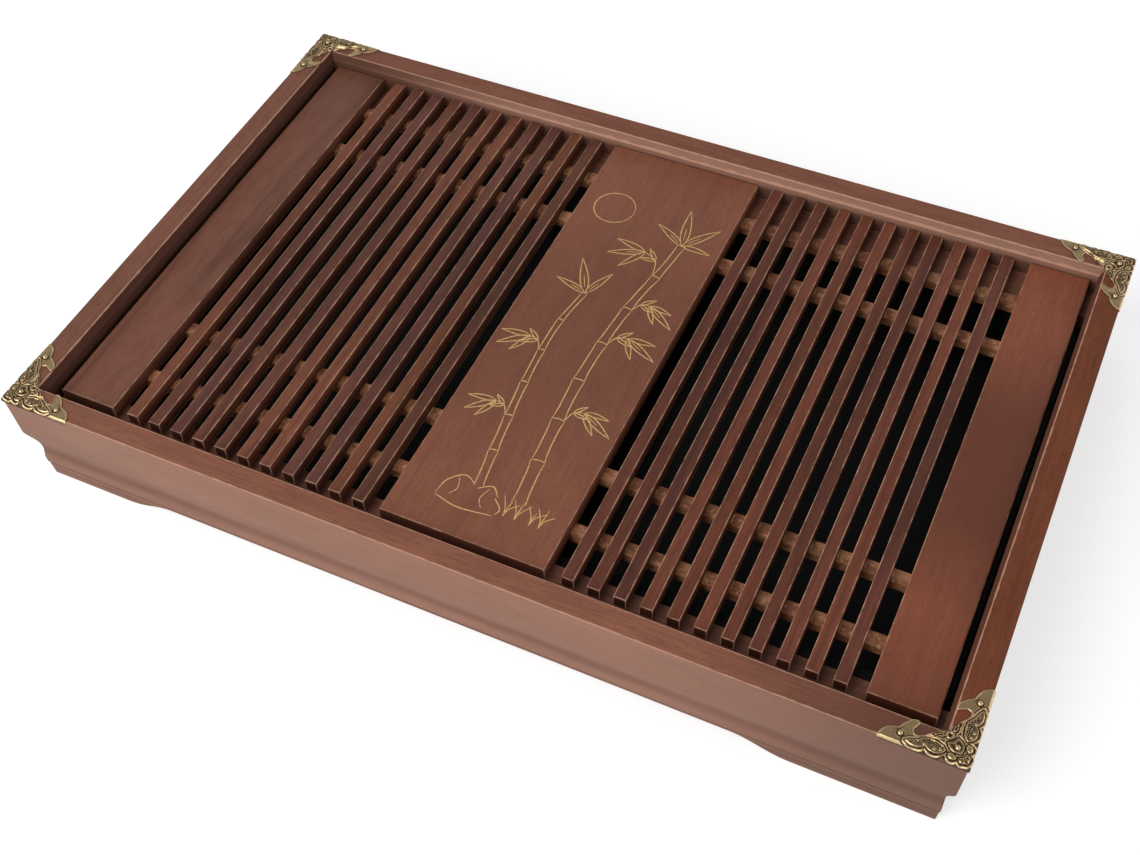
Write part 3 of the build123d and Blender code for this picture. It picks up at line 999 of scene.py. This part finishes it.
def thin_out_underside(form, under):
    """The underside is flat but for its folds, so it needs only a few large faces."""
    edges = [edge for edge in form.edges if all(face[under] for face in edge.link_faces)]
    verts = [vert for vert in form.verts if all(face[under] for face in vert.link_faces)]
    bmesh.ops.dissolve_limit(form, angle_limit=radians(3), verts=verts, edges=edges,
                             use_dissolve_boundaries=False)


plate, underside = press_half_plate()
mirror_at_mitre(plate)
before = len(plate.faces)
thin_out_underside(plate, underside)
open_edges = sum(not edge.is_manifold for edge in plate.edges)
print("plate faces:", before, "thinned to", len(plate.faces), "open edges:", open_edges)

# %% [markdown]
# ## Antique brass
# One finish for plates and nails. The attribute says where the patina was left and where
# light and shade are painted, and a noise breaks it up. Rubbed brass is smooth and pale,
# patina is rough and nearly black, and a finer noise makes the skin of both a little uneven.


# %% Make the antique brass
def antique_brass():
    """Brass whose colour and gloss follow the patina and painted light its mesh carries."""
    material, tree, shader = new_material("antique_brass")
    place = object_place(tree)
    dark = add_node(tree, "Attribute", attribute_name="tarnish").outputs["Fac"]
    cloudy = noise_of(tree, place, 420.0, 4.0)
    uneven = sum_of(tree, "MULTIPLY_ADD", cloudy, 0.5, sum_of(tree, "SUBTRACT", dark, 0.25))
    pale_gold, patina = (0.63, 0.45, 0.245), (0.062, 0.040, 0.024)
    set_inputs(tree, shader, {
        "Base Color": blend_of(tree, ramp_of(tree, uneven, 0.12, 0.8), pale_gold, patina),
        "Metallic": 1.0,
        "Roughness": ramp_of(tree, uneven, 0.1, 0.8, 0.34, 0.62),
        "Normal": bump_of(tree, noise_of(tree, place, 2600.0, 2.0), 0.25, 0.03),
    })
    return material


brass = antique_brass()
print("brass:", brass.name)

# %% [markdown]
# ## Placing the plates
# The struck plate is copied to the four corners. Its zero is the outer corner of the
# wood, and the sign of each direction mirrors it to suit. Mirroring turns a mesh inside
# out, so the normals of every copy are worked out again.


# %% Place the plates
def add_piece(form, name, body, material, sharp=40.0):
    """Makes an object of a bmesh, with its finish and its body."""
    mesh = bpy.data.meshes.new(name)
    form.to_mesh(mesh)
    form.free()
    mesh.polygons.foreach_set("use_smooth", np.ones(len(mesh.polygons), bool))
    mesh.set_sharp_from_angle(angle=radians(sharp))
    mesh.materials.append(material)
    piece = bpy.data.objects.new(name, mesh)
    bpy.context.scene.collection.objects.link(piece)
    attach(piece, body)
    return piece


wood_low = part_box("rail_front")[0]
wood_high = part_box("rail_back")[1]
corners = {
    f"{y_name}_{x_name}": (x, y, x_sign, y_sign)
    for y_name, y, y_sign in (("front", wood_low.y, 1), ("back", wood_high.y, -1))
    for x_name, x, x_sign in (("left", wood_low.x, 1), ("right", wood_high.x, -1))
}
for corner, (x, y, x_sign, y_sign) in corners.items():
    copy = plate.copy()
    place = Matrix.Translation((x, y, 0)) @ Matrix.Diagonal((x_sign * MM, y_sign * MM, MM, 1))
    bmesh.ops.transform(copy, matrix=place, verts=copy.verts)
    bmesh.ops.recalc_face_normals(copy, faces=copy.faces)
    piece = add_piece(copy, f"butterfly_{corner}", "tray_frame", brass)
    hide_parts(f"bracket_{corner}")
plate.free()
print("plates at:", [(name, round(x / MM, 1), round(y / MM, 1))
                     for name, (x, y, *_) in corners.items()])

# %% [markdown]
# ## Nails
# Each plate is held by three short brass nails with domed heads. A nail is turned work, so
# its half outline is spun once round its axis, and the twelve nails are moved copies.


# %% Turn and drive the nails
NAIL_TURNS = 20
LEG_SEAT = 0.62
BODY_SEAT = 0.78
nail_outline = [
    (0.0, 1.15), (0.5, 1.07), (0.92, 0.82), (1.2, 0.45), (1.32, 0.12), (1.35, 0.0),
    (1.3, -0.08), (0.55, -0.12), (0.55, -7.2), (0.0, -8.0),
]


def turn_nail():
    """One nail in mm, with the rim of its head at zero and its point below."""
    form = bmesh.new()
    verts = [form.verts.new((r, 0, z)) for r, z in nail_outline]
    edges = [form.edges.new(pair) for pair in zip(verts, verts[1:])]
    bmesh.ops.spin(form, geom=verts + edges, axis=(0, 0, 1), angle=tau, steps=NAIL_TURNS,
                   use_merge=True)
    bmesh.ops.remove_doubles(form, verts=form.verts, dist=0.001)
    bmesh.ops.recalc_face_normals(form, faces=form.faces)
    dark = form.verts.layers.float.new("tarnish")
    for vert in form.verts:
        vert[dark] = float(step_up(0.5 - vert.co.z, 0.6))
    return form


nail_mesh = bpy.data.meshes.new("one_nail")
one_nail = turn_nail()
one_nail.to_mesh(nail_mesh)
one_nail.free()
nails = bmesh.new()
seats = [(leg_nail, LEG_SEAT), (leg_nail[::-1], LEG_SEAT), (body_nail, BODY_SEAT)]
for x, y, x_sign, y_sign in corners.values():
    for (u, v), seat in seats:
        known = len(nails.verts)
        nails.from_mesh(nail_mesh)
        nails.verts.ensure_lookup_table()
        spot = (x + x_sign * u * MM, y + y_sign * v * MM, (rail_top + seat) * MM)
        place = Matrix.Translation(spot) @ Matrix.Scale(MM, 4)
        bmesh.ops.transform(nails, matrix=place, verts=nails.verts[known:])
piece = add_piece(nails, "domed_nails", "tray_frame", brass, sharp=60.0)
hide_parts("bracket_nails")
print("nails:", len(seats) * len(corners), "faces:", len(piece.data.polygons))

# %% [markdown]
# ## Glue
# Where a slat crosses a batten, a little glue was squeezed out and set as a honey-coloured
# bead in the corner between them. Each bead is a small ball of eighty triangles, made
# long and uneven by a seeded random number. There are 176, so they have few faces.


# %% Squeeze out the glue
def hardened_glue():
    """Glossy glue, cloudy with bubbles."""
    material, tree, shader = new_material("hardened_glue")
    cloudy = noise_of(tree, object_place(tree), 300.0, 3.0)
    honey, brown = (0.62, 0.35, 0.14), (0.36, 0.16, 0.055)
    set_inputs(tree, shader, {
        "Base Color": blend_of(tree, ramp_of(tree, cloudy, 0.35, 0.65), honey, brown),
        "Roughness": 0.32,
        "Normal": bump_of(tree, cloudy, 0.4, 0.1),
    })
    return material


def add_bead(form, place, rng):
    """A bead that lies along a slat, no two of the same length, thickness and turn."""
    half = (rng.uniform(0.5, 1.0) * MM, rng.uniform(2.0, 3.9) * MM, rng.uniform(0.5, 0.9) * MM)
    turn = Matrix.Rotation(rng.uniform(-0.08, 0.08), 4, "Z")
    shape = Matrix.Translation(place) @ turn @ Matrix.Diagonal((*half, 1))
    ball = bmesh.ops.create_icosphere(form, subdivisions=2, radius=1.0, matrix=shape)["verts"]
    for vert in ball:
        vert.co = Vector(place) + (vert.co - Vector(place)) * rng.uniform(0.85, 1.12)


def squeeze_glue():
    """A bead on either side of each slat, at each batten."""
    form = bmesh.new()
    rng = np.random.default_rng(11)
    slats = sorted(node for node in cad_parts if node.startswith("slat"))
    for batten in BATTENS:
        low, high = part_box(batten)
        middle = (low.y + high.y) / 2
        for slat in slats:
            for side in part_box(slat):
                add_bead(form, (side.x, middle + rng.uniform(-0.8, 0.8) * MM, high.z), rng)
    return form


glue = add_piece(squeeze_glue(), "glue_beads", "lift_off_grille", hardened_glue())
print("glue:", len(glue.data.polygons), "faces")

# %% [markdown]
# ## The line drawing on the centre plank
# The centre plank carries a drawing in pale gold paint. Here it is bamboo, a common motif
# on tea ware: two culms with their joints, thin twigs with hanging leaves, grass, a stone
# and the moon, all in outline. Each line is kept as its points and half its width at each
# of them, which swells in the middle and runs out at the ends.


# %% Helpers for the line drawing
VEINED_LENGTH = 19
strokes = []


def draw(points, width=0.68, steps=5):
    """A line through the points that tapers at both ends."""
    line = smooth_line(points, steps)
    share = np.linspace(0.06, 0.94, len(line))
    strokes.append((line, width / 2 * np.sin(share * pi) ** 0.4))


def heading_at(angle):
    """A step of one in this direction."""
    return np.array((cos(angle), sin(angle)))


def draw_leaf(root, angle, length, width, bend):
    """Two edges from the stalk to the tip, curling by a bend; large leaves have a vein."""
    share = np.linspace(0, 1, 7)[:, None]
    across = heading_at(angle + pi / 2)
    spine = root + share * length * heading_at(angle)
    spine = spine + share**2 * bend * length * across
    belly = width / 2 * np.sin(pi * share**0.75) * across
    draw(spine + belly)
    draw(spine - belly)
    if length > VEINED_LENGTH:
        draw(spine[1:4], 0.45)


def draw_culm(points, radius, joint):
    """A bamboo stem with joints about this far apart, growing thinner upwards."""
    line = smooth_line(points, 40)
    run = np.concatenate([[0], np.cumsum(np.linalg.norm(np.diff(line, axis=0), axis=1))])
    along = np.linspace(0, run[-1], round(run[-1] / joint) + 1)
    joints = []
    for start, end in zip(along, along[1:]):
        share = np.linspace(start + 0.5, end - 0.5, 6)
        middle = np.column_stack([np.interp(share, run, line[:, i]) for i in (0, 1)])
        heading = (middle[-1] - middle[0]) / np.linalg.norm(middle[-1] - middle[0])
        side = np.array((-heading[1], heading[0]))
        girth = radius * (1 - 0.45 * start / run[-1])
        flare = girth * (1 + 0.22 * np.linspace(-1, 1, 6) ** 4)[:, None]
        draw(middle + side * flare)
        draw(middle - side * flare)
        ring = middle[-1] + heading * 0.55
        draw([ring - side * girth * 1.3, ring + heading * 0.7, ring + side * girth * 1.3])
        joints.append((ring, heading, side, girth))
    return joints


# %% [markdown]
# Leaves of bamboo hang in sprays from the ends and the knees of the twigs. No two are
# alike, so a seeded random number, the unsteadiness of the hand, changes each a little.
# Places on the plank are in millimetres from its middle.

# %% Draw the bamboo
hand = np.random.default_rng(21)


def draw_spray(root, angle, count, size):
    """Slender leaves that spread from the end of a twig, the middle one the longest."""
    for place in np.linspace(-1, 1, count):
        lean = angle + place * 0.62 + hand.uniform(-0.08, 0.08)
        length = size * hand.uniform(0.85, 1.1) * (1 - 0.28 * abs(place))
        draw_leaf(root, lean, length, length * 0.15 + 0.6, hand.uniform(0.04, 0.16) * -place)


def draw_branch(joint, to_left, reach, size):
    """A twig that leaves a joint and bends over, with leaves that hang from it."""
    ring, heading, side, girth = joint
    out = side if to_left else -side
    root = ring + out * girth
    knee = root + (heading * 0.75 + out * 0.35) * reach
    tip = root + (heading * 0.95 + out * 0.95) * reach
    draw([root, knee, tip])
    hanging = np.arctan2(*(out * 0.85 - heading * 0.5)[::-1])
    spread = np.arctan2(*(out + heading * 0.25)[::-1])
    draw_spray(tip, hanging, 3, size)
    draw_spray(knee, spread, 2, size * 0.6)


def draw_stone(points, cracks):
    """A garden stone: a broken outline and a few cracks."""
    for run in points:
        draw(run, 0.75)
    for run in cracks:
        draw(run, 0.5)


tall = draw_culm([(17, -112), (13, -66), (11, -18), (14, 28), (20, 62), (23, 84)], 3.1, 28.0)
young = draw_culm([(-6, -110), (-11, -72), (-15, -34), (-16, 2), (-12, 30)], 2.1, 22.0)
for joint, to_left, reach, size in (
    (tall[1], False, 9, 21), (tall[3], False, 9, 23), (tall[4], False, 8, 21),
    (tall[5], True, 14, 25), (young[1], True, 8, 20), (young[3], True, 8, 22),
):
    draw_branch(joint, to_left, reach, size)
for tip, leaves in ((tall[-1][0], ((2.5, 22), (1.75, 29), (0.95, 25), (0.1, 17))),
                    (young[-1][0], ((2.75, 20), (2.0, 27), (1.2, 21)))):
    for lean, length in leaves:
        draw_leaf(tip, lean, length, length * 0.15 + 0.6, 0.1 * (lean - 1.6))
moon = [(-24 + 12 * cos(angle), 98 + 12 * sin(angle)) for angle in np.linspace(0, tau, 25)]
draw(moon)
draw_stone(
    [[(-24, -121), (-22, -112), (-15, -106), (-8, -109)], [(-6, -111), (1, -107), (6, -112)],
     [(5, -113), (10, -118), (9, -122)], [(-24, -122), (-10, -125), (8, -123)]],
    [[(-17, -108), (-15, -115), (-18, -120)], [(0, -109), (-2, -116), (1, -121)]],
)
for foot in (13.0, 19.0, 27.0, 32.0):
    for lean in (-0.5, 0.1, 0.6):
        blade = np.array((foot, -121.0))
        draw([blade, blade + (lean * 2, 5), blade + (lean * 9, 10 + hand.uniform(-2, 2))], 0.55)
print("lines drawn:", len(strokes))

# %% [markdown]
# The lines become a curve, because a curve can be thick in one place and thin in another,
# and the curve becomes a mesh. It is pressed flat, to an eighth of its height, and laid
# in the surface of the plank, so that the paint stands a few hundredths of a millimetre
# proud.

# %% Lay the drawing in the plank
PRESSED_TO = 0.12


def gold_paint():
    """Pale gold paint, worn in patches."""
    material, tree, shader = new_material("gold_paint")
    patchy = noise_of(tree, object_place(tree), 700.0, 3.0)
    gold, worn_gold = (0.62, 0.39, 0.14), (0.42, 0.25, 0.09)
    set_inputs(tree, shader, {
        "Base Color": blend_of(tree, ramp_of(tree, patchy, 0.4, 0.7), gold, worn_gold),
        "Roughness": 0.5,
        "Normal": bump_of(tree, patchy, 0.4, 0.03),
    })
    return material


def lay_drawing():
    """All the lines as one flat mesh in the top of the centre plank."""
    curve = bpy.data.curves.new("drawing_lines", "CURVE")
    curve.dimensions = "3D"
    curve.bevel_depth = 1.0
    curve.bevel_resolution = 1
    curve.use_fill_caps = True
    for line, half_widths in strokes:
        spline = curve.splines.new("POLY")
        spline.points.add(len(line) - 1)
        flat = np.column_stack([line, np.zeros(len(line)), np.ones(len(line))])
        spline.points.foreach_set("co", flat.ravel())
        spline.points.foreach_set("radius", half_widths)
    source = bpy.data.objects.new("drawing_lines", curve)
    form = bmesh.new()
    form.from_mesh(bpy.data.meshes.new_from_object(source))
    bpy.data.objects.remove(source)
    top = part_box("plank_centre")[1].z
    flatten = Matrix.Translation((0, 0, top)) @ Matrix.Diagonal((MM, MM, PRESSED_TO * MM, 1))
    bmesh.ops.transform(form, matrix=flatten, verts=form.verts)
    bmesh.ops.recalc_face_normals(form, faces=form.faces)
    return add_piece(form, "bamboo_drawing", "lift_off_grille", gold_paint())


drawing = lay_drawing()
print("drawing:", len(drawing.data.polygons), "faces")

# %% [markdown]
# ## The studio
# A white floor and a white backdrop all round, under a ceiling that is darker than both.
# That is what gives satin wood its look: seen from above, the flat tops mirror the dim
# ceiling and keep their colour, while the front of the tray and the rounded arrises
# mirror the floor and the backdrop and turn paler. Two soft lamps bring the light to a
# level at which a colour renders about as it is written.

# %% Light the world
BACKDROP_LIGHT = 1.0
CEILING_LIGHT = 0.22

world = bpy.data.worlds.new("studio")
world.use_nodes = True
bpy.context.scene.world = world
sky = world.node_tree
direction = add_node(sky, "TexCoord").outputs["Generated"]
upward = parts_of(sky, direction)["Z"]
set_inputs(sky, sky.nodes["Background"], {
    "Color": (1, 1, 1, 1),
    "Strength": ramp_of(sky, upward, 0.35, 0.75, BACKDROP_LIGHT, CEILING_LIGHT),
})
print("world:", world.name)

# %% [markdown]
# Both lamps are wide disks that point at the middle of the tray. The large one stands in
# front, to the left, and gives the shape; the small one brightens the right-hand side.


# %% Hang the lamps
def soft_lamp(name, place, size, power):
    """A disk of light that faces the tray."""
    data = bpy.data.lights.new(name, "AREA")
    data.shape = "DISK"
    data.size = size
    data.energy = power
    lamp = bpy.data.objects.new(name, data)
    facing = (-Vector(place)).to_track_quat("-Z", "Y").to_matrix().to_4x4()
    lamp.matrix_world = Matrix.Translation(place) @ facing
    bpy.context.scene.collection.objects.link(lamp)
    return lamp


lamps = [
    soft_lamp("key_lamp", (-0.80, -1.55, 1.70), 1.8, 40.0),
    soft_lamp("side_lamp", (1.3, 0.3, 0.9), 0.8, 2.5),
]
print("lamps:", [lamp.name for lamp in lamps])

# %% [markdown]
# The floor glows toward the camera and into what the brass mirrors, so it looks white
# there. To the lamps it is only a middle grey, so that it throws no more light on the
# tray than it should and still takes its shadow.

# %% Lay the floor
FLOOR_RADIUS = 4.0
FLOOR_GREY = 0.55
FLOOR_GLOW = 0.6


def seen_directly(tree, strength):
    """A strength for what the camera, metal and glass see, and none for lighting."""
    rays = add_node(tree, "LightPath").outputs
    seen = sum_of(tree, "MAXIMUM", rays["Is Camera Ray"], rays["Is Glossy Ray"])
    seen = sum_of(tree, "MAXIMUM", seen, rays["Is Transmission Ray"])
    return sum_of(tree, "MULTIPLY", seen, strength)


def build_floor():
    """A round floor, far wider than the picture."""
    form = bmesh.new()
    bmesh.ops.create_circle(form, cap_ends=True, segments=64, radius=FLOOR_RADIUS)
    mesh = bpy.data.meshes.new("floor")
    form.to_mesh(mesh)
    form.free()
    floor = bpy.data.objects.new("floor", mesh)
    bpy.context.scene.collection.objects.link(floor)
    material, tree, shader = new_material("floor_paint")
    set_inputs(tree, shader, {
        "Base Color": (FLOOR_GREY, FLOOR_GREY, FLOOR_GREY, 1),
        "Roughness": 0.9,
        "Specular IOR Level": 0.0,
        "Emission Color": (1, 1, 1, 1),
        "Emission Strength": seen_directly(tree, FLOOR_GLOW),
    })
    mesh.materials.append(material)
    return floor


print("floor:", build_floor().name)

# %% [markdown]
# ## The view
# The standard view shows colours as they are.

# %% Set the view
bpy.context.scene.view_settings.view_transform = "Standard"
